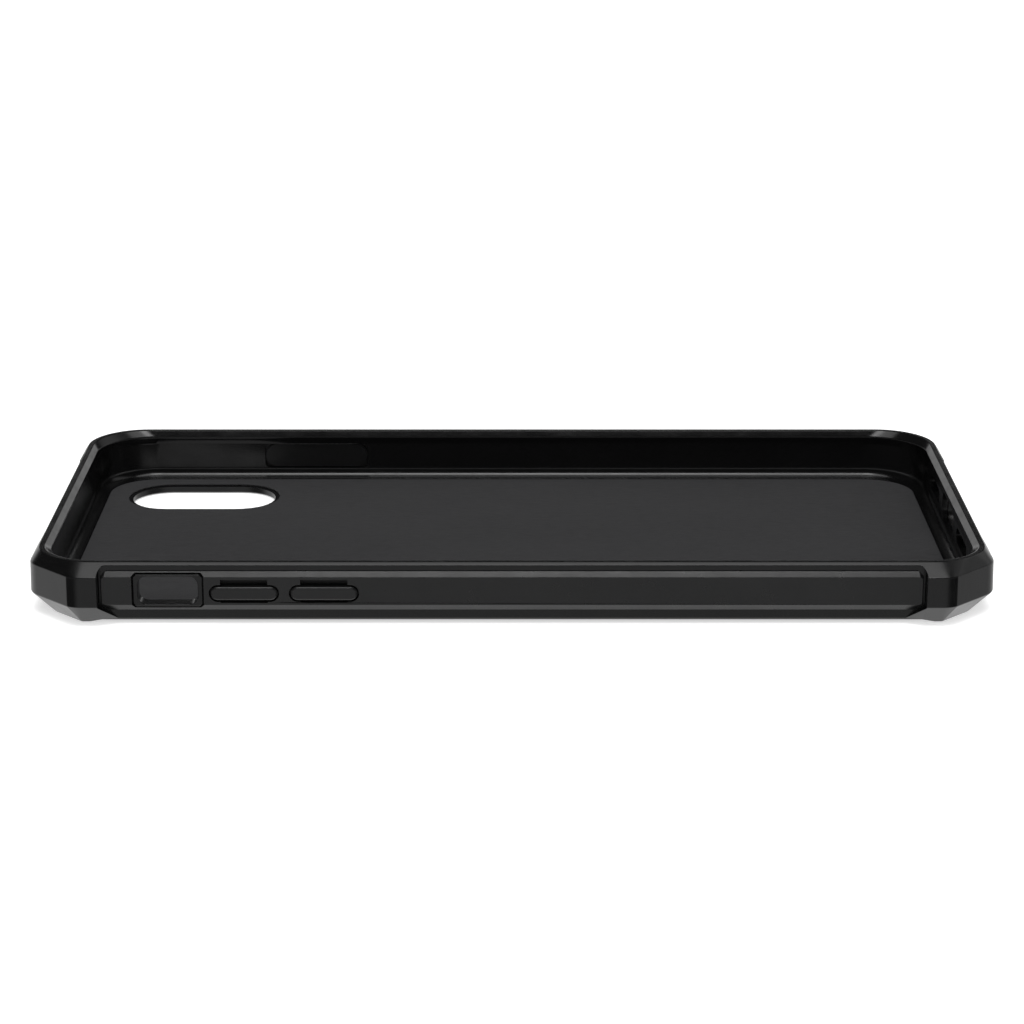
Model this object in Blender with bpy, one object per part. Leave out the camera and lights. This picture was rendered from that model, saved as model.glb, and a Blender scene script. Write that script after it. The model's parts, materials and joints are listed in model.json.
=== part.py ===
"""A hybrid phone case: a soft bumper frame with faceted corners, four chamfered side rails,
a stiff back panel with a camera opening and a lining, and three push buttons.

Frame: X runs along the phone (-X is its top end), Y across it (-Y is the volume-button side),
Z points out of the screen. The origin is under the middle of the case, on the plane of its feet.
"""

import math

import bmesh
import bpy
from mathutils import Matrix, Vector

MM = 0.001

# The phone that the case holds, and the room left around it.
PHONE_LENGTH = 150.9 * MM
PHONE_WIDTH = 75.7 * MM
PHONE_THICKNESS = 8.3 * MM
END_ROOM = 0.55 * MM
SIDE_ROOM = 0.2 * MM
CAVITY_X = PHONE_LENGTH / 2 + END_ROOM
CAVITY_Y = PHONE_WIDTH / 2 + SIDE_ROOM
CAVITY_RADIUS = 10.5 * MM

# Gaps kept between two pieces that nest in each other, and between the layers of the back.
GAP = 0.2 * MM
LAYER_GAP = 0.1 * MM

# Heights above the plane of the feet.
FOOT_HEIGHT = 0.5 * MM
LEDGE_TOP = 0.8 * MM
PANEL_TOP = 1.2 * MM
FLOOR = 1.5 * MM
CAVITY_WALL_TOP = 7.8 * MM
LIP_UNDER = 9.0 * MM
LIP_EDGE = 9.3 * MM
FACE_BOTTOM = 3.45 * MM
FACE_TOP = 8.45 * MM
TOTAL_HEIGHT = FLOOR + PHONE_THICKNESS + 0.5 * MM

# Outside of the bumper frame, in plan.
BUMPER_X = 78.9 * MM
BUMPER_Y = 42.0 * MM
DRAFT = 0.1 * MM
CORNER_LEG = 7.9 * MM
CORNER_ROUND_X = 5.0 * MM
CORNER_ROUND_Y = 5.2 * MM
LIP_X = 77.65 * MM
LIP_Y = 39.1 * MM
LIP_RADIUS = 10.0 * MM
LIP_FLAT = 0.9 * MM
LIP_OVERHANG_SIDE = 0.55 * MM
LIP_OVERHANG_END = 0.15 * MM
FLOOR_FILLET = 1.85 * MM

# How far the outside is drawn in below the upright faces, at the underside's height and at the
# feet: along X, along Y, and square to a corner's facet.
UNDERSIDE_INSETS = (3.68 * MM, 2.65 * MM, 2.61 * MM)
FOOT_INSETS = (4.3 * MM, 3.1 * MM, 3.05 * MM)
LOW_ROUND = 0.6 * MM

# The ledge inside the frame that the back panel's rim rests on.
LEDGE_WIDTH = 1.5 * MM

# Inner corner of the feet: each foot lies outside both of these, and slopes up to the underside.
FOOT_START_X = 68.5 * MM
FOOT_START_Y = 29.4 * MM
FOOT_SLOPE = 2.0 * MM

# Side rails. Heights run along Z, and depths run outwards from the case's middle. The tongue on
# a rail's back sits in the frame's wall: it is smaller than the rail by a step on each side.
RAIL_BOTTOM = 2.39 * MM
RAIL_TOP = 8.96 * MM
RAIL_BEVEL_DEPTH = 0.87 * MM
RAIL_TOP_BEVEL = 0.85 * MM
RAIL_BOTTOM_BEVEL = 1.07 * MM
RAIL_END_BEVEL = 0.2 * MM
RAIL_HIGH_CUT = 0.8 * MM
RAIL_LOW_CUT = 1.35 * MM
RAIL_SEAT = 0.58 * MM
RAIL_STEP = 0.4 * MM
RAIL_TOP_STEP = 0.1 * MM
LONG_RAIL_HALF = 66.4 * MM
SHORT_RAIL_HALF = 24.0 * MM
LONG_WALL = 39.73 * MM
SHORT_WALL = 77.75 * MM
RAIL_GROOVE = 0.35 * MM
POCKET_DEPTH = 6 * MM

# Camera opening, a stadium that runs along X near the top end.
CAMERA_X = -56.3 * MM
CAMERA_Y = 25.0 * MM
CAMERA_LENGTH = 26.0 * MM
CAMERA_WIDTH = 13.6 * MM
RING_WALL = 1.6 * MM
RING_EDGE = 0.25 * MM
RING_BOTTOM = 0.05 * MM

# Openings and buttons in the sides, at the height of the phone's own keys.
KEY_HEIGHT = 5.42 * MM
PORT_CENTRE = 5.8 * MM
MUTE_CENTRE = 5.83 * MM
MUTE_X = -55.5 * MM
MUTE_LENGTH = 9.7 * MM
MUTE_HEIGHT = 4.6 * MM
MUTE_RADIUS = 1.4 * MM
MUTE_PAD_LENGTH = 11.2 * MM
MUTE_PAD_HEIGHT = 5.4 * MM
MUTE_PAD_CUT = 0.5 * MM
VOLUME_UP_X = -43.2 * MM
VOLUME_DOWN_X = -30.3 * MM
VOLUME_LENGTH = 10.8 * MM
SIDE_KEY_X = -36.5 * MM
SIDE_KEY_LENGTH = 18.0 * MM
CAP_HEIGHT = 2.3 * MM
CAP_PROUD = 0.3 * MM
CAP_EDGE = 0.25 * MM
FLANGE_THICKNESS = 0.45 * MM
FLANGE_END = 0.45 * MM
FLANGE_SIDE = 1.0 * MM
SLOT_ABOVE = 2.3 * MM
SLOT_BELOW = 1.6 * MM
SLOT_SHORTER = 3.25 * MM
HOLE_ROOM = 0.25 * MM
PORT_LENGTH = 13.5 * MM
PORT_HEIGHT = 5.2 * MM
SPEAKER_Y = 16.0 * MM
SPEAKER_LENGTH = 11.5 * MM
SPEAKER_HEIGHT = 2.6 * MM

# A corner's facet: the angle that each arc beside it sweeps, and the part of the lip's quarter
# circle that belongs to those arcs and not to the facet.
SWEEP_X_DEG = 45
SWEEP_Y_DEG = 30
FACET_START_DEG = 33

# Steps in each round stretch.
ARC_STEPS = 6
FACET_STEPS = 3
FILLET_STEPS = 8
STADIUM_STEPS = 16

# The far side of a cut that runs clear of the piece.
CLEAR = 5 * MM


def clear_scene():
    for obj in list(bpy.data.objects):
        bpy.data.objects.remove(obj)


def make_material(name, colour, roughness, metallic):
    material = bpy.data.materials.new(name)
    material.use_nodes = True
    shader = material.node_tree.nodes["Principled BSDF"]
    shader.inputs["Base Color"].default_value = (*colour, 1.0)
    shader.inputs["Roughness"].default_value = roughness
    shader.inputs["Metallic"].default_value = metallic
    return material


# ---------------------------------------------------------------- outlines in plan


def corner_stations():
    """For each point of a corner: how far along its facet it lies, the share of the arc at that
    end of the facet, and the point's angle where the same corner is a plain arc."""
    arc_span = FACET_START_DEG
    facet_span = 90 - 2 * FACET_START_DEG
    stations = []
    for i in range(ARC_STEPS + 1):
        stations.append((0.0, i / ARC_STEPS, arc_span * i / ARC_STEPS))
    for i in range(1, FACET_STEPS):
        stations.append((i / FACET_STEPS, 1.0, arc_span + facet_span * i / FACET_STEPS))
    for i in reversed(range(ARC_STEPS + 1)):
        stations.append((1.0, i / ARC_STEPS, 90 - arc_span * i / ARC_STEPS))
    return stations


def all_corners(quarter):
    """The whole outline, counter-clockwise, from the points of its +X +Y corner."""
    outline = list(quarter)
    outline += [(-x, y) for x, y in reversed(quarter)]
    outline += [(-x, -y) for x, y in quarter]
    outline += [(x, -y) for x, y in reversed(quarter)]
    return outline


def round_outline(half_x, half_y, radius):
    quarter = []
    for _, _, degrees in corner_stations():
        angle = math.radians(degrees)
        x = half_x - radius + radius * math.cos(angle)
        y = half_y - radius + radius * math.sin(angle)
        quarter.append((x, y))
    return all_corners(quarter)


def facet_outline(half_x, half_y, leg, radius_x, radius_y):
    """A rectangle whose corners are cut at 45 degrees. An arc leads from each straight side to
    the facet: it runs smoothly into the facet on the X side, and meets it in a crease on the Y side."""
    sweep_x = math.radians(SWEEP_X_DEG)
    sweep_y = math.radians(SWEEP_Y_DEG)
    reach_x = radius_x * (math.cos(sweep_x) + math.sin(sweep_x) - 1)
    reach_y = radius_y * (math.cos(sweep_y) + math.sin(sweep_y) - 1)
    centre_x = Vector((half_x - radius_x, half_y - leg - reach_x))
    centre_y = Vector((half_x - leg - reach_y, half_y - radius_y))

    def near_x(share):
        angle = sweep_x * share
        return centre_x + Vector((math.cos(angle), math.sin(angle))) * radius_x

    def near_y(share):
        angle = sweep_y * share
        return centre_y + Vector((math.sin(angle), math.cos(angle))) * radius_y

    quarter = []
    for along, share, _ in corner_stations():
        point = near_x(share).lerp(near_y(share), along)
        quarter.append((point.x, point.y))
    return all_corners(quarter)


def stadium(length, height, centre=(0.0, 0.0)):
    """A slot with round ends, counter-clockwise, its length along the first axis."""
    radius = height / 2
    reach = length / 2 - radius
    points = []
    for end in (1, -1):
        for i in range(STADIUM_STEPS + 1):
            angle = math.pi * (i / STADIUM_STEPS - 0.5)
            u = end * (reach + radius * math.cos(angle))
            v = end * radius * math.sin(angle)
            points.append((centre[0] + u, centre[1] + v))
    return points


def round_rectangle(length, height, radius, centre=(0.0, 0.0)):
    points = []
    for index, (su, sv) in enumerate(((1, 1), (-1, 1), (-1, -1), (1, -1))):
        for i in range(STADIUM_STEPS // 2 + 1):
            angle = math.pi / 2 * (index + i / (STADIUM_STEPS // 2))
            u = su * (length / 2 - radius) + radius * math.cos(angle)
            v = sv * (height / 2 - radius) + radius * math.sin(angle)
            points.append((centre[0] + u, centre[1] + v))
    return points


def rectangle(length, height, centre=(0.0, 0.0)):
    u, v = length / 2, height / 2
    return [(centre[0] + a, centre[1] + b) for a, b in ((u, -v), (u, v), (-u, v), (-u, -v))]


def cut_rectangle(length, height, cut, centre=(0.0, 0.0)):
    """A rectangle with its four corners cut at 45 degrees."""
    u, v = length / 2, height / 2
    quarter = [(u, v - cut), (u - cut, v)]
    corners = list(quarter)
    corners += [(-a, b) for a, b in reversed(quarter)]
    corners += [(-a, -b) for a, b in quarter]
    corners += [(a, -b) for a, b in reversed(quarter)]
    return [(centre[0] + a, centre[1] + b) for a, b in corners]


# ---------------------------------------------------------------- solids


def ring(outline, height):
    return [Vector((x, y, height)) for x, y in outline]


def new_object(name, mesh_data, matrix=None):
    obj = bpy.data.objects.new(name, mesh_data)
    bpy.context.scene.collection.objects.link(obj)
    if matrix is not None:
        obj.matrix_world = matrix
    return obj


def skin(name, rings, matrix=None, endless=False):
    """A solid through rings of equal length: closed by a cap at each end, or endless, where the
    last ring joins the first and the solid is a hoop."""
    bm = bmesh.new()
    loops = [[bm.verts.new(p) for p in points] for points in rings]
    count = len(rings[0])
    pairs = list(zip(loops, loops[1:]))
    if endless:
        pairs.append((loops[-1], loops[0]))
    for low, high in pairs:
        for i in range(count):
            j = (i + 1) % count
            bm.faces.new((low[i], low[j], high[j], high[i]))
    if not endless:
        bm.faces.new(list(reversed(loops[0])))
        bm.faces.new(loops[-1])
    bmesh.ops.recalc_face_normals(bm, faces=bm.faces)
    mesh_data = bpy.data.meshes.new(name)
    bm.to_mesh(mesh_data)
    bm.free()
    mesh_data.shade_smooth()
    mesh_data.set_sharp_from_angle(angle=math.radians(25))
    return new_object(name, mesh_data, matrix)


def plate(name, outline, bottom, top, matrix=None):
    return skin(name, [ring(outline, bottom), ring(outline, top)], matrix)


def modify(target, operation, tool):
    """Cuts the tool from the target, or joins it on, and keeps the tool as a hidden helper."""
    tool.hide_render = True
    tool.display_type = "WIRE"
    boolean = target.modifiers.new(tool.name, "BOOLEAN")
    boolean.operation = operation
    boolean.solver = "EXACT"
    boolean.object = tool


def finish(obj, material):
    obj.data.materials.append(material)
    return obj


# ---------------------------------------------------------------- the four sides

# Outward direction of each side. On a side, u runs along the case with the outward
# direction towards the viewer, v is the height, and w is the distance out from the middle.
SIDES = {"left": (0, -1, 0), "right": (0, 1, 0), "top": (-1, 0, 0), "bottom": (1, 0, 0)}


def side_matrix(side):
    outward = Vector(SIDES[side])
    up = Vector((0, 0, 1))
    along = up.cross(outward)
    return Matrix((along, up, outward)).transposed().to_4x4()


def along_side(side, x):
    """The u of a point at x on a long side."""
    return (side_matrix(side).inverted() @ Vector((x, 0, 0))).x


def rail_back_outline(end, bottom, top):
    """A rail's outline at the frame's wall: the bevelled edges end in slanting cuts."""
    quarter = [
        (end - RAIL_LOW_CUT, bottom),
        (end, bottom + RAIL_BOTTOM_BEVEL),
        (end, top - RAIL_TOP_BEVEL),
        (end - RAIL_HIGH_CUT, top),
    ]
    return quarter + [(-u, v) for u, v in reversed(quarter)]


def tongue_outline(half, margin=0.0):
    """The outline of the tongue on a rail's back, or of the seat that leaves room round it."""
    return rail_back_outline(
        half - RAIL_STEP + margin,
        RAIL_BOTTOM + RAIL_STEP - margin,
        RAIL_TOP - RAIL_TOP_STEP + margin,
    )


def rail_face_outline(half):
    """The rail's flat face: nearly a plain rectangle."""
    end = half - RAIL_END_BEVEL
    bottom = RAIL_BOTTOM + RAIL_BOTTOM_BEVEL
    top = RAIL_TOP - RAIL_TOP_BEVEL
    quarter = [
        (end - 2 * RAIL_END_BEVEL, bottom),
        (end, bottom + RAIL_END_BEVEL),
        (end, top - RAIL_END_BEVEL),
        (end - 2 * RAIL_END_BEVEL, top),
    ]
    return quarter + [(-u, v) for u, v in reversed(quarter)]


def pocket_outline(half):
    """The recess round a rail: rounded at the top corners, slanting in under the bottom ones."""
    end = half + RAIL_GROOVE
    radius = 1.3 * MM
    corner = Vector((end - radius, FACE_TOP + 0.15 * MM))
    quarter = [
        (end - 4.0 * MM, -CLEAR),
        (end - 3.2 * MM, 0.9 * MM),
        (end, FACE_BOTTOM - 0.1 * MM),
    ]
    for i in range(FILLET_STEPS + 1):
        angle = math.pi / 2 * i / FILLET_STEPS
        out = radius * math.cos(angle)
        up = radius * math.sin(angle)
        quarter.append((corner.x + out, corner.y + up))
    quarter.append((corner.x, TOTAL_HEIGHT + CLEAR))
    return quarter + [(-u, v) for u, v in reversed(quarter)]


def side_measures(side):
    """Half the rail's length, and the distance of the frame's wall beside the rail."""
    if side in ("left", "right"):
        return LONG_RAIL_HALF, LONG_WALL
    return SHORT_RAIL_HALF, SHORT_WALL


def button_hole(name, side, u, length):
    """Opening in a rail round a button: a stadium with a straight slot above and below."""
    matrix = side_matrix(side)
    wall = side_measures(side)[1]
    hole = plate(
        name,
        stadium(length + 2 * HOLE_ROOM, CAP_HEIGHT + 2 * HOLE_ROOM, (u, KEY_HEIGHT)),
        wall - CLEAR,
        wall + CLEAR,
        matrix,
    )
    slot = plate(
        name + "_slots",
        rectangle(
            length - SLOT_SHORTER,
            SLOT_ABOVE + SLOT_BELOW,
            (u, KEY_HEIGHT + (SLOT_ABOVE - SLOT_BELOW) / 2),
        ),
        wall - CLEAR - MM,
        wall + CLEAR + MM,
        matrix,
    )
    modify(hole, "UNION", slot)
    return hole


def make_rail(side, material):
    half, wall = side_measures(side)
    seat = wall - RAIL_SEAT
    back = wall + LAYER_GAP
    outer = wall + RAIL_BEVEL_DEPTH
    tongue = tongue_outline(half)
    full = rail_back_outline(half, RAIL_BOTTOM, RAIL_TOP)
    face = rail_face_outline(half)
    rings = [ring(tongue, seat), ring(tongue, back), ring(full, back), ring(face, outer)]
    rail = skin(side + "_rail", rings, side_matrix(side))
    return finish(rail, material)


# ---------------------------------------------------------------- bumper frame


def frame_rings():
    """The frame's section, ring by ring, from the lip's outer edge down the outside, in under
    the case, up the window of the back panel and the cavity's wall, and back to the lip."""
    face_bottom = facet_outline(
        BUMPER_X, BUMPER_Y, CORNER_LEG, CORNER_ROUND_X, CORNER_ROUND_Y
    )
    face_top = facet_outline(
        BUMPER_X - DRAFT,
        BUMPER_Y - DRAFT,
        CORNER_LEG - (2 - math.sqrt(2)) * DRAFT,
        CORNER_ROUND_X,
        CORNER_ROUND_Y,
    )

    def drawn_in(insets):
        along_x, along_y, across_facet = insets
        leg = CORNER_LEG + math.sqrt(2) * across_facet - along_x - along_y
        return facet_outline(
            BUMPER_X - along_x, BUMPER_Y - along_y, leg, LOW_ROUND, LOW_ROUND
        )

    def inside(step):
        return round_outline(CAVITY_X - step, CAVITY_Y - step, CAVITY_RADIUS - step)

    opening = round_outline(
        CAVITY_X - LIP_OVERHANG_END, CAVITY_Y - LIP_OVERHANG_SIDE, CAVITY_RADIUS - LIP_OVERHANG_SIDE
    )
    ledge = FLOOR_FILLET + 0.15 * MM
    window = inside(ledge + LEDGE_WIDTH)
    step_out = inside(ledge)
    rings = [
        ring(round_outline(LIP_X, LIP_Y, LIP_RADIUS), TOTAL_HEIGHT),
        ring(face_top, FACE_TOP),
        ring(face_bottom, FACE_BOTTOM),
        ring(drawn_in(UNDERSIDE_INSETS), FOOT_HEIGHT),
        ring(drawn_in(FOOT_INSETS), 0),
        ring(window, 0),
        ring(window, LEDGE_TOP),
        ring(step_out, LEDGE_TOP),
        ring(step_out, FLOOR),
    ]
    for i in range(FILLET_STEPS + 1):
        angle = math.pi / 2 * i / FILLET_STEPS
        out = FLOOR_FILLET * (1 - math.sin(angle))
        up = FLOOR_FILLET * (1 - math.cos(angle))
        rings.append(ring(inside(out), FLOOR + up))
    rings += [
        ring(inside(0), CAVITY_WALL_TOP),
        ring(opening, LIP_UNDER),
        ring(opening, LIP_EDGE),
        ring(
            round_outline(LIP_X - LIP_FLAT, LIP_Y - LIP_FLAT, LIP_RADIUS - LIP_FLAT),
            TOTAL_HEIGHT,
        ),
    ]
    return rings


def cut_feet(frame):
    """Raises the underside everywhere but at the four corners, where it slopes down to the feet."""
    spans = {
        "feet_gap_x": (FOOT_START_X, 2 * BUMPER_Y, FOOT_SLOPE, 0),
        "feet_gap_y": (2 * BUMPER_X, FOOT_START_Y, 0, FOOT_SLOPE),
    }
    for name, (half_x, half_y, slope_x, slope_y) in spans.items():
        low = rectangle(2 * (half_x + slope_x), 2 * (half_y + slope_y))
        high = rectangle(2 * (half_x - slope_x), 2 * (half_y - slope_y))
        tool = skin(name, [ring(low, -FOOT_HEIGHT), ring(high, FOOT_HEIGHT)])
        modify(frame, "DIFFERENCE", tool)


def cut_rail_pocket(frame, side):
    """The open recess beside a rail, and the deeper seat that the rail's tongue is bonded into."""
    half, wall = side_measures(side)
    matrix = side_matrix(side)
    pocket = plate(side + "_pocket", pocket_outline(half), wall, wall + POCKET_DEPTH, matrix)
    modify(frame, "DIFFERENCE", pocket)
    seat_outline = tongue_outline(half, GAP)
    seat = plate(
        side + "_seat", seat_outline, wall - RAIL_SEAT - GAP, wall + POCKET_DEPTH / 2, matrix
    )
    modify(frame, "DIFFERENCE", seat)


def add_mute_pad(frame):
    """The block that fills the left rail's window, and the opening to the phone's switch."""
    matrix = side_matrix("left")
    u = along_side("left", MUTE_X)
    pad = plate(
        "mute_pad",
        cut_rectangle(MUTE_PAD_LENGTH, MUTE_PAD_HEIGHT, MUTE_PAD_CUT, (u, MUTE_CENTRE)),
        LONG_WALL - RAIL_SEAT - 2 * GAP,
        LONG_WALL + RAIL_BEVEL_DEPTH - GAP,
        matrix,
    )
    modify(frame, "UNION", pad)
    hole = round_rectangle(MUTE_LENGTH, MUTE_HEIGHT, MUTE_RADIUS, (u, MUTE_CENTRE))
    opening = plate("mute_opening", hole, LONG_WALL - CLEAR, LONG_WALL + CLEAR, matrix)
    modify(frame, "DIFFERENCE", opening)


def cut_button_window(frame, side, name, u, length):
    """Room in the frame's wall for a button's flange."""
    outline = round_rectangle(
        length + 2 * (FLANGE_END + GAP),
        CAP_HEIGHT + 2 * (FLANGE_SIDE + GAP),
        MM,
        (u, KEY_HEIGHT),
    )
    window = plate(name + "_window", outline, CAVITY_Y - CLEAR, LONG_WALL, side_matrix(side))
    modify(frame, "DIFFERENCE", window)


def bottom_openings(prefix, start, end, grow=0.0):
    """The charging port's opening and the two sound slots, as cutters through the bottom side."""
    matrix = side_matrix("bottom")
    port = round_rectangle(
        PORT_LENGTH + 2 * grow, PORT_HEIGHT + 2 * grow, 2 * MM, (0, PORT_CENTRE)
    )
    tools = [plate(prefix + "_port", port, start, end, matrix)]
    for name, u in (("microphone", -SPEAKER_Y), ("speaker", SPEAKER_Y)):
        slot = stadium(
            SPEAKER_LENGTH + 2 * grow, SPEAKER_HEIGHT + 2 * grow, (u, PORT_CENTRE)
        )
        tools.append(plate(f"{prefix}_{name}", slot, start, end, matrix))
    return tools


def make_frame(material, buttons):
    frame = skin("bumper_frame", frame_rings(), endless=True)
    cut_feet(frame)
    for side in SIDES:
        cut_rail_pocket(frame, side)
    add_mute_pad(frame)
    for name, (side, x, length) in buttons.items():
        cut_button_window(frame, side, name, along_side(side, x), length)
    for tool in bottom_openings("frame", CAVITY_X - CLEAR, BUMPER_X + CLEAR):
        modify(frame, "DIFFERENCE", tool)
    return finish(frame, material)


# ---------------------------------------------------------------- back


def camera_cutter(name, margin):
    outline = stadium(CAMERA_LENGTH + 2 * margin, CAMERA_WIDTH + 2 * margin, (CAMERA_X, CAMERA_Y))
    return plate(name, outline, -CLEAR, CLEAR)


def make_back_panel(material):
    """A stepped plate: its lower part fills the frame's window and its rim rests on the ledge."""
    rim_step = FLOOR_FILLET + 0.3 * MM
    low_step = rim_step + LEDGE_WIDTH

    def outline(step):
        return round_outline(CAVITY_X - step, CAVITY_Y - step, CAVITY_RADIUS - step)

    shelf = LEDGE_TOP + LAYER_GAP
    rings = [
        ring(outline(low_step), FOOT_HEIGHT),
        ring(outline(low_step), shelf),
        ring(outline(rim_step), shelf),
        ring(outline(rim_step), PANEL_TOP),
    ]
    panel = skin("back_panel", rings)
    modify(panel, "DIFFERENCE", camera_cutter("panel_camera", RING_WALL + GAP))
    return finish(panel, material)


def make_lining(material):
    step = FLOOR_FILLET + 0.35 * MM
    outline = round_outline(CAVITY_X - step, CAVITY_Y - step, CAVITY_RADIUS - step)
    lining = plate("back_lining", outline, PANEL_TOP + LAYER_GAP, FLOOR)
    modify(lining, "DIFFERENCE", camera_cutter("lining_camera", RING_WALL / 2))
    return finish(lining, material)


def make_camera_ring(material):
    """A collar in the panel's opening, which stands a little lower than the panel outside."""

    def slot(margin, height):
        outline = stadium(
            CAMERA_LENGTH + 2 * margin, CAMERA_WIDTH + 2 * margin, (CAMERA_X, CAMERA_Y)
        )
        return ring(outline, height)

    rings = [
        slot(0, PANEL_TOP),
        slot(0, RING_BOTTOM + RING_EDGE),
        slot(RING_EDGE, RING_BOTTOM),
        slot(RING_WALL - RING_EDGE, RING_BOTTOM),
        slot(RING_WALL, RING_BOTTOM + RING_EDGE),
        slot(RING_WALL, PANEL_TOP),
    ]
    return finish(skin("camera_ring", rings, endless=True), material)


# ---------------------------------------------------------------- buttons


def make_button(name, side, x, length, material):
    """A cap that stands out through the rail, on a flange held between rail and phone.
    The object's origin is on the line that the button slides along."""
    inner = CAVITY_Y + 0.45 * MM
    flange_top = inner + FLANGE_THICKNESS
    face = LONG_WALL + RAIL_BEVEL_DEPTH + CAP_PROUD
    flange = stadium(length + 2 * FLANGE_END, CAP_HEIGHT + 2 * FLANGE_SIDE)
    cap = stadium(length, CAP_HEIGHT)
    cap_face = stadium(length - 2 * CAP_EDGE, CAP_HEIGHT - 2 * CAP_EDGE)
    rings = [
        ring(flange, inner),
        ring(flange, flange_top),
        ring(cap, flange_top),
        ring(cap, face - CAP_EDGE),
        ring(cap_face, face),
    ]
    centre = Matrix.Translation((x, 0, KEY_HEIGHT))
    button = skin(name, rings, centre @ side_matrix(side))
    return finish(button, material)


def main():
    clear_scene()
    tpu = make_material("bumper_tpu", (0.016, 0.016, 0.017), 0.22, 0.0)
    satin = make_material("rail_satin", (0.022, 0.022, 0.024), 0.38, 0.0)
    hard_back = make_material("panel_polycarbonate", (0.02, 0.02, 0.021), 0.5, 0.0)
    suede = make_material("lining_microfibre", (0.05, 0.05, 0.052), 0.95, 0.0)
    key_tpu = make_material("button_tpu", (0.018, 0.018, 0.019), 0.3, 0.0)

    buttons = {
        "volume_up_button": ("left", VOLUME_UP_X, VOLUME_LENGTH),
        "volume_down_button": ("left", VOLUME_DOWN_X, VOLUME_LENGTH),
        "side_button": ("right", SIDE_KEY_X, SIDE_KEY_LENGTH),
    }
    make_frame(tpu, buttons)
    rails = {side: make_rail(side, satin) for side in SIDES}
    for name, (side, x, length) in buttons.items():
        make_button(name, side, x, length, key_tpu)
        hole = button_hole(name + "_hole", side, along_side(side, x), length)
        modify(rails[side], "DIFFERENCE", hole)
    mute_window = cut_rectangle(
        MUTE_PAD_LENGTH + 2 * GAP,
        MUTE_PAD_HEIGHT + 2 * GAP,
        MUTE_PAD_CUT,
        (along_side("left", MUTE_X), MUTE_CENTRE),
    )
    window = plate(
        "mute_window", mute_window, LONG_WALL - CLEAR, LONG_WALL + CLEAR, side_matrix("left")
    )
    modify(rails["left"], "DIFFERENCE", window)
    for tool in bottom_openings("rail", SHORT_WALL - CLEAR, SHORT_WALL + CLEAR, GAP):
        modify(rails["bottom"], "DIFFERENCE", tool)
    make_back_panel(hard_back)
    make_lining(suede)
    make_camera_ring(satin)


main()
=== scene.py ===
"""The looks of the phone case: rounded moulded edges, fine surface textures, and a soft light studio."""

import json
import math

import bpy
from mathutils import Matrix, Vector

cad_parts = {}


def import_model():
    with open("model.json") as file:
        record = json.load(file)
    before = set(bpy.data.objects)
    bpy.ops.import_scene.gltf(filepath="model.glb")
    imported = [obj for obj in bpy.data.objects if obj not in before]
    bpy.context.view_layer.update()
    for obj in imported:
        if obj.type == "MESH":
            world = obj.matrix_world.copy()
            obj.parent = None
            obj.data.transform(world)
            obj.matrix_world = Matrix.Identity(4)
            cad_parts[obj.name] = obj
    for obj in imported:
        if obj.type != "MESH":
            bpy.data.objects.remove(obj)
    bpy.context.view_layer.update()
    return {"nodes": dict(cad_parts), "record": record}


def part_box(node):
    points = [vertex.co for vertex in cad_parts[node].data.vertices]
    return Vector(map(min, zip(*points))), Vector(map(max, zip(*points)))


MM = 0.001


# ---------------------------------------------------------------- node helpers

# The mix node has its own sockets for each type of value. These are the ones for colours.
MIX_FIRST = 6
MIX_SECOND = 7
MIX_RESULT = 2

# Most of a noise texture's values lie between these two.
NOISE_LOW = 0.35
NOISE_HIGH = 0.65


class Nodes:
    """A node tree under construction, with short calls for what the finishes and the studio share."""

    def __init__(self, tree):
        self.tree = tree

    def new(self, kind):
        return self.tree.nodes.new(kind)

    def link(self, source, target):
        self.tree.links.new(source, target)

    def feed(self, socket, value):
        """Sets a socket to a number or a vector, or links another node's output to it."""
        if isinstance(value, bpy.types.NodeSocket):
            self.link(value, socket)
        else:
            socket.default_value = value

    def math(self, operation, first, second=0.0):
        node = self.new("ShaderNodeMath")
        node.operation = operation
        self.feed(node.inputs[0], first)
        self.feed(node.inputs[1], second)
        return node.outputs[0]

    def between(self, value, low, high):
        """1 where the value lies between the two, and 0 elsewhere."""
        above = self.math("GREATER_THAN", value, low)
        below = self.math("LESS_THAN", value, high)
        return self.math("MULTIPLY", above, below)

    def remap(self, value, low, high, start=NOISE_LOW, end=NOISE_HIGH):
        """Fades from low to high as the value goes from start to end, and stays level outside them."""
        node = self.new("ShaderNodeMapRange")
        node.inputs["From Min"].default_value = start
        node.inputs["From Max"].default_value = end
        node.inputs["To Min"].default_value = low
        node.inputs["To Max"].default_value = high
        self.link(value, node.inputs["Value"])
        return node.outputs["Result"]

    def ramp(self, value, stops):
        """A colour for each value: stops are (position, colour), and a plain number is a grey."""
        node = self.new("ShaderNodeValToRGB")
        elements = node.color_ramp.elements
        while len(elements) < len(stops):
            elements.new(1.0)
        for element, (position, colour) in zip(elements, stops):
            grey = isinstance(colour, (int, float))
            element.position = position
            element.color = (colour, colour, colour, 1.0) if grey else (*colour, 1.0)
        self.link(value, node.inputs["Fac"])
        return node.outputs["Color"]

    def mix(self, share, first, second):
        """The first colour where the share is 0, and the second where it is 1."""
        node = self.new("ShaderNodeMix")
        node.data_type = "RGBA"
        self.link(share, node.inputs["Factor"])
        self.feed(node.inputs[MIX_FIRST], first)
        self.feed(node.inputs[MIX_SECOND], second)
        return node.outputs[MIX_RESULT]


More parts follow.
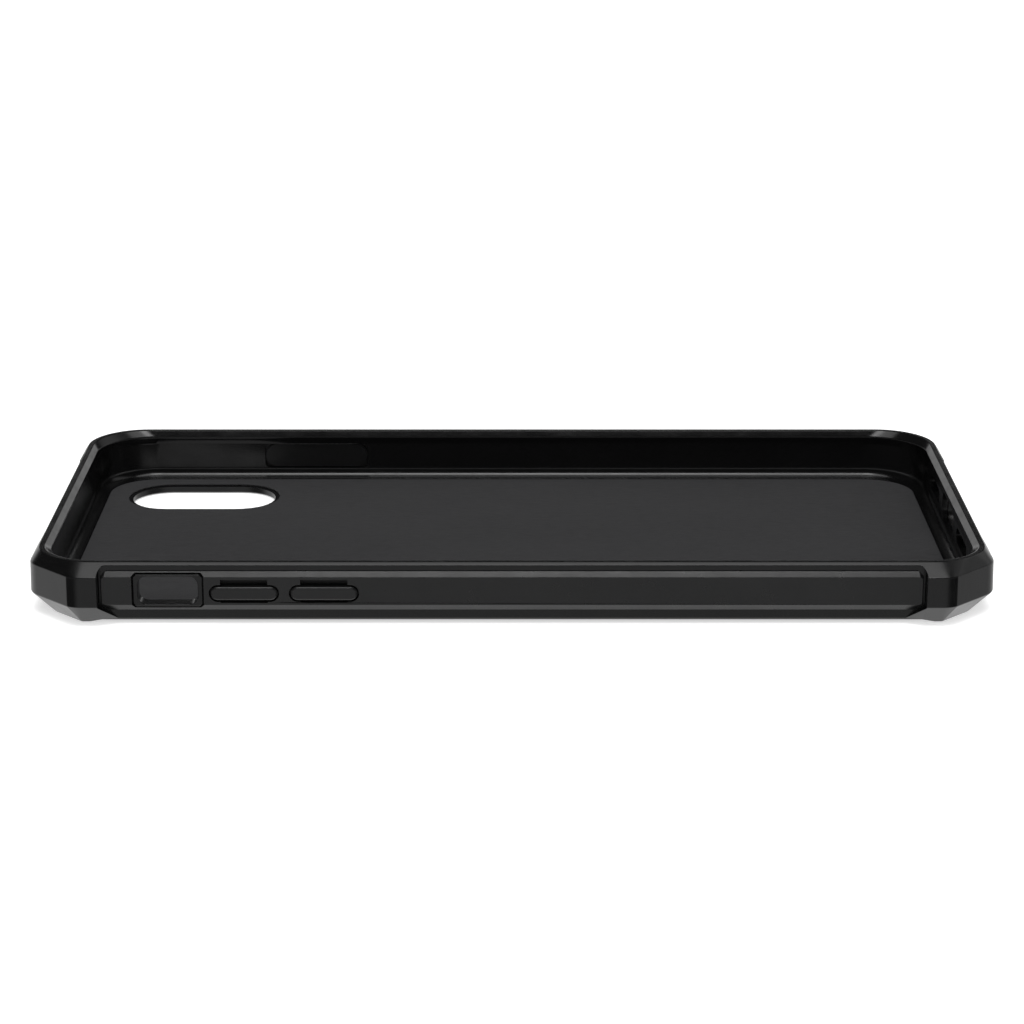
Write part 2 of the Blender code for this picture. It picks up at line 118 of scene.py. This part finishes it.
class Finish(Nodes):
    """The material of one kind of surface, on coordinates fixed to the piece."""

    def __init__(self, name):
        self.material = bpy.data.materials.new(name)
        self.material.use_nodes = True
        super().__init__(self.material.node_tree)
        self.shader = self.tree.nodes["Principled BSDF"]
        self.place = self.new("ShaderNodeTexCoord").outputs["Object"]

    def shade(self, name, value):
        self.feed(self.shader.inputs[name], value)

    def noise(self, size, detail, roughness, stretch=(1, 1, 1)):
        """Noise with features about `size` metres across, drawn out along each axis by `stretch`."""
        mapping = self.new("ShaderNodeMapping")
        mapping.inputs["Scale"].default_value = [1 / s for s in stretch]
        self.link(self.place, mapping.inputs["Vector"])
        texture = self.new("ShaderNodeTexNoise")
        texture.inputs["Scale"].default_value = 1 / size
        texture.inputs["Detail"].default_value = detail
        texture.inputs["Roughness"].default_value = roughness
        self.link(mapping.outputs["Vector"], texture.inputs["Vector"])
        return texture.outputs["Fac"]

    def bump(self, height, distance, strength, normal=None):
        """Relief from a height between 0 and 1, laid over the relief in `normal` where there is one."""
        node = self.new("ShaderNodeBump")
        node.inputs["Distance"].default_value = distance
        node.inputs["Strength"].default_value = strength
        self.link(height, node.inputs["Height"])
        if normal is not None:
            self.link(normal, node.inputs["Normal"])
        return node.outputs["Normal"]

    def edges(self, radius):
        """About 1 along the piece's outer and inner edges, and 0 on flat stretches."""
        rounded = self.new("ShaderNodeBevel")
        rounded.samples = 4
        rounded.inputs["Radius"].default_value = radius
        geometry = self.new("ShaderNodeNewGeometry")
        agreement = self.new("ShaderNodeVectorMath")
        agreement.operation = "DOT_PRODUCT"
        self.link(rounded.outputs["Normal"], agreement.inputs[0])
        self.link(geometry.outputs["Normal"], agreement.inputs[1])
        return self.remap(agreement.outputs["Value"], 1.0, 0.0, start=0.9, end=0.995)


# ---------------------------------------------------------------- finishes

# What handling does to an edge: how wide it rubs, how much lighter, and how much smoother.
RUBBED_WIDTH = 0.3 * MM
RUBBED_LIGHTER = 2.2
RUBBED_SMOOTHER = 0.2


def moulded_plastic(name, dark, light, roughness, rough_spread, grain, grain_depth):
    """Black moulded plastic: slight colour variation, a fine grain, scuffs in the gloss, and edges
    that handling has rubbed lighter and smoother."""
    finish = Finish(name)
    worn = finish.edges(RUBBED_WIDTH)
    patches = finish.noise(1.6 * MM, detail=4, roughness=0.7)
    wear = finish.math("MULTIPLY", worn, finish.remap(patches, 0.0, 1.0, start=0.3, end=0.6))

    clouds = finish.noise(9 * MM, detail=4, roughness=0.6)
    shade = finish.ramp(clouds, [(0.3, dark), (0.7, light)])
    rubbed = tuple(RUBBED_LIGHTER * channel for channel in light)
    finish.shade("Base Color", finish.mix(wear, shade, (*rubbed, 1.0)))

    streaks = finish.noise(4 * MM, detail=5, roughness=0.65)
    scuffs = finish.remap(streaks, roughness - rough_spread, roughness + rough_spread)
    polish = finish.math("MULTIPLY", wear, RUBBED_SMOOTHER * roughness)
    finish.shade("Roughness", finish.math("SUBTRACT", scuffs, polish))

    swells = finish.noise(14 * MM, detail=1, roughness=0.4)
    waviness = finish.bump(swells, 0.05 * MM, strength=0.25)
    specks = finish.noise(grain, detail=3, roughness=0.6)
    finish.shade("Normal", finish.bump(specks, grain_depth, strength=0.5, normal=waviness))
    return finish.material


def glossy_tpu():
    return moulded_plastic(
        "bumper_gloss_tpu",
        dark=(0.003, 0.003, 0.0031),
        light=(0.0045, 0.0045, 0.0047),
        roughness=0.2,
        rough_spread=0.04,
        grain=0.35 * MM,
        grain_depth=0.004 * MM,
    )


def satin_rail():
    return moulded_plastic(
        "rail_satin_plastic",
        dark=(0.006, 0.006, 0.0062),
        light=(0.0085, 0.0085, 0.0088),
        roughness=0.3,
        rough_spread=0.03,
        grain=0.22 * MM,
        grain_depth=0.01 * MM,
    )


def button_rubber():
    return moulded_plastic(
        "button_satin_tpu",
        dark=(0.006, 0.006, 0.0062),
        light=(0.0085, 0.0085, 0.0088),
        roughness=0.34,
        rough_spread=0.05,
        grain=0.2 * MM,
        grain_depth=0.01 * MM,
    )


def matte_back():
    return moulded_plastic(
        "back_matte_plastic",
        dark=(0.012, 0.012, 0.0125),
        light=(0.017, 0.017, 0.018),
        roughness=0.5,
        rough_spread=0.06,
        grain=0.3 * MM,
        grain_depth=0.03 * MM,
    )


def microfibre():
    """Black brushed cloth: short fibres that mostly lie along the case, with patches of lifted nap."""
    finish = Finish("lining_microfibre")
    fibres = finish.noise(0.22 * MM, detail=3, roughness=0.7, stretch=(5, 1, 1))
    tufts = finish.noise(0.9 * MM, detail=3, roughness=0.6, stretch=(2, 1, 1))
    nap = finish.noise(22 * MM, detail=2, roughness=0.5, stretch=(1.6, 1, 1))

    colour = finish.ramp(fibres, [(0.3, (0.01, 0.01, 0.011)), (0.7, (0.028, 0.028, 0.03))])
    tufted = finish.mix(finish.remap(tufts, 0.0, 0.35), colour, (0.033, 0.033, 0.035, 1.0))
    brushed = finish.mix(finish.remap(nap, 0.0, 0.25), tufted, (0.03, 0.03, 0.032, 1.0))
    finish.shade("Base Color", brushed)
    finish.shade("Roughness", finish.remap(fibres, 0.85, 0.98))
    finish.shade("Sheen Weight", 0.15)
    finish.shade("Sheen Roughness", 0.5)

    pile = finish.bump(tufts, 0.08 * MM, strength=0.5)
    finish.shade("Normal", finish.bump(fibres, 0.05 * MM, strength=0.8, normal=pile))
    return finish.material


# ---------------------------------------------------------------- edges

# How wide the edges of each finish are rounded, and the width for the finishes not listed.
EDGE_WIDTHS = {"lining_microfibre": 0.05 * MM, "frame_tpu": 0.14 * MM, "rail_satin": 0.08 * MM}
EDGE_WIDTH = 0.12 * MM

# Folds under the flat angle are dissolved, folds over the crease angle are rounded, and after
# that the folds still over the sharp angle are shaded sharp.
WELD_DISTANCE = 0.002 * MM
FLAT_ANGLE = math.radians(0.3)
CREASE_ANGLE = math.radians(13)
SHARP_ANGLE = math.radians(32)

# The seats behind the rails, on the long sides and on the short ones: from where to where they
# reach, measured out from the case's middle, and half their length. The roots of the rails'
# tongues, which fold inwards, lie up to TONGUE_ROOT further out.
LONG_SEAT = (37.9 * MM, 39.78 * MM)
LONG_SEAT_HALF = 66.5 * MM
SHORT_SEAT = (75.8 * MM, 77.8 * MM)
SHORT_SEAT_HALF = 24.1 * MM
SEAT_HEIGHTS = (2.45 * MM, 9.1 * MM)
TONGUE_ROOT = 0.12 * MM

# The ledge inside the frame that the back rests on.
LEDGE_HALF_LENGTH = 75.2 * MM
LEDGE_HALF_WIDTH = 37.5 * MM
LEDGE_HEIGHTS = (0.7 * MM, 1.6 * MM)


def geometry_group(name):
    """An empty geometry node group, with its input and output sockets."""
    group = bpy.data.node_groups.new(name, "GeometryNodeTree")
    for side in ("INPUT", "OUTPUT"):
        group.interface.new_socket("Geometry", in_out=side, socket_type="NodeSocketGeometry")
    start = group.nodes.new("NodeGroupInput").outputs["Geometry"]
    end = group.nodes.new("NodeGroupOutput").inputs["Geometry"]
    return Nodes(group), start, end


def joined_faces():
    """Joins the separate triangles of a solid into one surface, and drops their stored normals."""
    nodes, start, end = geometry_group("joined_faces")
    strip = nodes.new("GeometryNodeRemoveAttribute")
    strip.inputs["Name"].default_value = "custom_normal"
    weld = nodes.new("GeometryNodeMergeByDistance")
    weld.inputs["Distance"].default_value = WELD_DISTANCE
    nodes.link(start, strip.inputs["Geometry"])
    nodes.link(strip.outputs["Geometry"], weld.inputs["Geometry"])
    nodes.link(weld.outputs["Geometry"], end)
    return nodes.tree


def rounded_edges():
    """Marks the edges to round: every crease, apart from those that hide behind the rails and in
    the ledge that the back rests on."""
    nodes, start, end = geometry_group("rounded_edges")
    fold = nodes.new("GeometryNodeInputMeshEdgeAngle")
    inward = nodes.math("LESS_THAN", fold.outputs["Signed Angle"], 0.0)
    crease = nodes.math("GREATER_THAN", fold.outputs["Unsigned Angle"], CREASE_ANGLE)
    place = nodes.new("ShaderNodeSeparateXYZ")
    nodes.link(nodes.new("GeometryNodeInputPosition").outputs["Position"], place.inputs["Vector"])
    x, y = (nodes.math("ABSOLUTE", place.outputs[axis]) for axis in "XY")
    z = place.outputs["Z"]
    root = nodes.math("MULTIPLY", inward, TONGUE_ROOT)

    def behind_rail(out, along, seat, half):
        """1 in a seat and at the root of the tongue in it, and 0 elsewhere."""
        depth = nodes.between(nodes.math("SUBTRACT", out, root), *seat)
        return nodes.math("MULTIPLY", depth, nodes.math("LESS_THAN", along, half))

    long_seats = behind_rail(y, x, LONG_SEAT, LONG_SEAT_HALF)
    short_seats = behind_rail(x, y, SHORT_SEAT, SHORT_SEAT_HALF)
    seats = nodes.math("MAXIMUM", long_seats, short_seats)
    seats = nodes.math("MULTIPLY", seats, nodes.between(z, *SEAT_HEIGHTS))

    within_length = nodes.math("LESS_THAN", x, LEDGE_HALF_LENGTH)
    within_width = nodes.math("LESS_THAN", y, LEDGE_HALF_WIDTH)
    inside = nodes.math("MULTIPLY", within_length, within_width)
    ledge = nodes.math("MULTIPLY", inside, nodes.between(z, *LEDGE_HEIGHTS))

    shown = nodes.math("SUBTRACT", 1.0, nodes.math("MAXIMUM", seats, ledge))
    weight = nodes.new("GeometryNodeStoreNamedAttribute")
    weight.domain = "EDGE"
    weight.inputs["Name"].default_value = "bevel_weight_edge"
    nodes.link(start, weight.inputs["Geometry"])
    nodes.link(nodes.math("MULTIPLY", crease, shown), weight.inputs["Value"])
    nodes.link(weight.outputs["Geometry"], end)
    return nodes.tree


def smooth_curves():
    """Shades curved stretches smooth, and keeps every edge over the sharp angle sharp."""
    nodes, start, end = geometry_group("smooth_curves")
    faces = nodes.new("GeometryNodeSetShadeSmooth")
    nodes.link(start, faces.inputs["Geometry"])
    edges = nodes.new("GeometryNodeSetShadeSmooth")
    edges.domain = "EDGE"
    edges.inputs["Shade Smooth"].default_value = False
    angle = nodes.new("GeometryNodeInputMeshEdgeAngle")
    sharp = nodes.math("GREATER_THAN", angle.outputs["Unsigned Angle"], SHARP_ANGLE)
    nodes.link(sharp, edges.inputs["Selection"])
    nodes.link(faces.outputs["Geometry"], edges.inputs["Geometry"])
    nodes.link(edges.outputs["Geometry"], end)
    return nodes.tree


def soften(obj, width, join, mark, smooth):
    """Rounds an object's moulded edges with modifiers, which leave its own mesh as it is."""
    obj.modifiers.new("joined_faces", "NODES").node_group = join
    flats = obj.modifiers.new("whole_flats", "DECIMATE")
    flats.decimate_type = "DISSOLVE"
    flats.angle_limit = FLAT_ANGLE
    obj.modifiers.new("rounded_edges", "NODES").node_group = mark
    bevel = obj.modifiers.new("moulded_edges", "BEVEL")
    bevel.width = width
    bevel.segments = 3
    bevel.limit_method = "WEIGHT"
    bevel.miter_outer = "MITER_ARC"
    bevel.use_clamp_overlap = False
    obj.modifiers.new("smooth_curves", "NODES").node_group = smooth
    weighted = obj.modifiers.new("flat_faces_stay_flat", "WEIGHTED_NORMAL")
    weighted.keep_sharp = True


def repaint(obj, material):
    obj.data.materials.clear()
    obj.data.materials.append(material)


# ---------------------------------------------------------------- studio

# The floor lies just under the feet, and glows so that it stays white.
FLOOR_HALF = 6.0
FLOOR_HEIGHT = -0.05 * MM
FLOOR_GLOW = 0.62

# How bright each part of the air is, and the share of it left at the far right under the horizon.
WALL = 0.75
CEILING = 0.03
CARD = 0.5
SIDES_AND_BACK = 0.9
DIM_CARD = 0.05
FRONT = 0.43
BASE = 1.15
RIGHT_SHARE = 0.57

# The way from the case to the middle of the soft card.
CARD_DIRECTION = (0.66, 0.42, 0.62)

# The camera's distance in front of the case's middle, its height over the case's top, and its
# sensor and lens in millimetres.
CAMERA_DISTANCE = 0.4821
CAMERA_HEIGHT = 0.1481
CAMERA_DOWN_DEG = 17.5
CAMERA_SENSOR = 36
CAMERA_LENS = 101.9


def floor():
    """A pale floor. Gloss on the case mirrors the air around it instead of the floor."""
    mesh = bpy.data.meshes.new("studio_floor")
    signs = [(-1, -1), (1, -1), (1, 1), (-1, 1)]
    corners = [(right * FLOOR_HALF, back * FLOOR_HALF, FLOOR_HEIGHT) for right, back in signs]
    mesh.from_pydata(corners, [], [(0, 1, 2, 3)])
    obj = bpy.data.objects.new("studio_floor", mesh)
    bpy.context.scene.collection.objects.link(obj)
    paint = Finish("studio_floor_paint")
    clouds = paint.noise(0.25, detail=3, roughness=0.5)
    paint.shade("Base Color", paint.ramp(clouds, [(0.3, 0.93), (0.7, 0.95)]))
    paint.shade("Roughness", 0.9)
    paint.shade("Specular IOR Level", 0.0)
    paint.shade("Emission Color", (1, 1, 1, 1))
    paint.shade("Emission Strength", FLOOR_GLOW)
    mesh.materials.append(paint.material)
    obj.visible_glossy = False


def round_light(name, energy, width_deg, tilt_deg, mirrored):
    """A soft disc of light as far away as the sky, tilted from straight above towards the front."""
    light = bpy.data.lights.new(name, "SUN")
    light.energy = energy
    light.angle = math.radians(width_deg)
    obj = bpy.data.objects.new(name, light)
    obj.rotation_euler = (math.radians(tilt_deg), 0, 0)
    obj.visible_glossy = mirrored
    bpy.context.scene.collection.objects.link(obj)


def world():
    """What the gloss mirrors. Over the horizon is a pale wall all round, under a dark ceiling with
    a soft card at the upper right behind the case. Under it are a pale front, a dim card at each
    side of that, and bright sides and back, all dimmer towards the right, down to a bright base."""
    setting = bpy.data.worlds.new("studio_air")
    setting.use_nodes = True
    air = Nodes(setting.node_tree)
    direction = air.new("ShaderNodeTexCoord").outputs["Generated"]
    split = air.new("ShaderNodeSeparateXYZ")
    air.link(direction, split.inputs["Vector"])
    x, y, z = split.outputs

    wall = air.remap(z, WALL, CEILING, start=0.15, end=0.24)
    towards_card = air.new("ShaderNodeVectorMath")
    towards_card.operation = "DOT_PRODUCT"
    air.link(direction, towards_card.inputs[0])
    towards_card.inputs[1].default_value = CARD_DIRECTION
    card = air.remap(towards_card.outputs["Value"], 0.0, CARD, start=0.87, end=0.96)
    above = air.math("ADD", wall, card)

    flat_squared = air.math("ADD", air.math("MULTIPLY", x, x), air.math("MULTIPLY", y, y))
    flat = air.math("SQRT", flat_squared)
    towards_front = air.math("DIVIDE", air.math("MULTIPLY", y, -1.0), flat)
    # From straight behind the case at 0, past its sides at 0.5, to straight in front of it at 1.
    around_stops = [
        (0.0, SIDES_AND_BACK),
        (0.48, SIDES_AND_BACK),
        (0.62, DIM_CARD),
        (0.885, DIM_CARD),
        (0.955, FRONT),
        (1.0, FRONT),
    ]
    around = air.ramp(air.remap(towards_front, 0.0, 1.0, start=-1.0, end=1.0), around_stops)
    around = air.math("MULTIPLY", around, air.remap(x, 1.0, RIGHT_SHARE, start=0.45, end=0.85))
    base = air.remap(z, 1.0, 0.0, start=-0.88, end=-0.7)
    below = air.mix(base, around, (BASE, BASE, BASE, 1.0))
    horizon = air.remap(z, 0.0, 1.0, start=-0.02, end=0.02)
    strength = air.mix(horizon, below, above)
    air.link(strength, air.tree.nodes["Background"].inputs["Color"])
    bpy.context.scene.world = setting


def studio():
    floor()
    world()
    round_light("overhead_dome", energy=0.72, width_deg=44, tilt_deg=5, mirrored=True)
    round_light("overhead_strip", energy=0.3, width_deg=18, tilt_deg=18, mirrored=True)
    round_light("front_fill", energy=1.3, width_deg=60, tilt_deg=24, mirrored=False)


def camera(top):
    """A long lens half a metre in front of the case, looking down at it along +Y."""
    lens = bpy.data.cameras.new("camera")
    lens.sensor_width = CAMERA_SENSOR
    lens.lens = CAMERA_LENS
    lens.clip_start = 10 * MM
    obj = bpy.data.objects.new("camera", lens)
    bpy.context.scene.collection.objects.link(obj)
    obj.location = (0, -CAMERA_DISTANCE, CAMERA_HEIGHT + top)
    obj.rotation_euler = (math.radians(90 - CAMERA_DOWN_DEG), 0, 0)
    bpy.context.scene.camera = obj


# ---------------------------------------------------------------- the case

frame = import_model()
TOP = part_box("bumper_frame")[1][2]

finishes = {
    "frame_tpu": glossy_tpu(),
    "rail_satin": satin_rail(),
    "button_tpu": button_rubber(),
    "back_polycarbonate": matte_back(),
    "lining_microfibre": microfibre(),
}
join = joined_faces()
mark = rounded_edges()
smooth = smooth_curves()
for part in frame["record"]["subparts"]:
    node = frame["nodes"][part["node"]]
    slot = part["material_slot"]
    repaint(node, finishes[slot])
    soften(node, EDGE_WIDTHS.get(slot, EDGE_WIDTH), join, mark, smooth)

camera(TOP)
studio()
bpy.context.scene.view_settings.view_transform = "Standard"
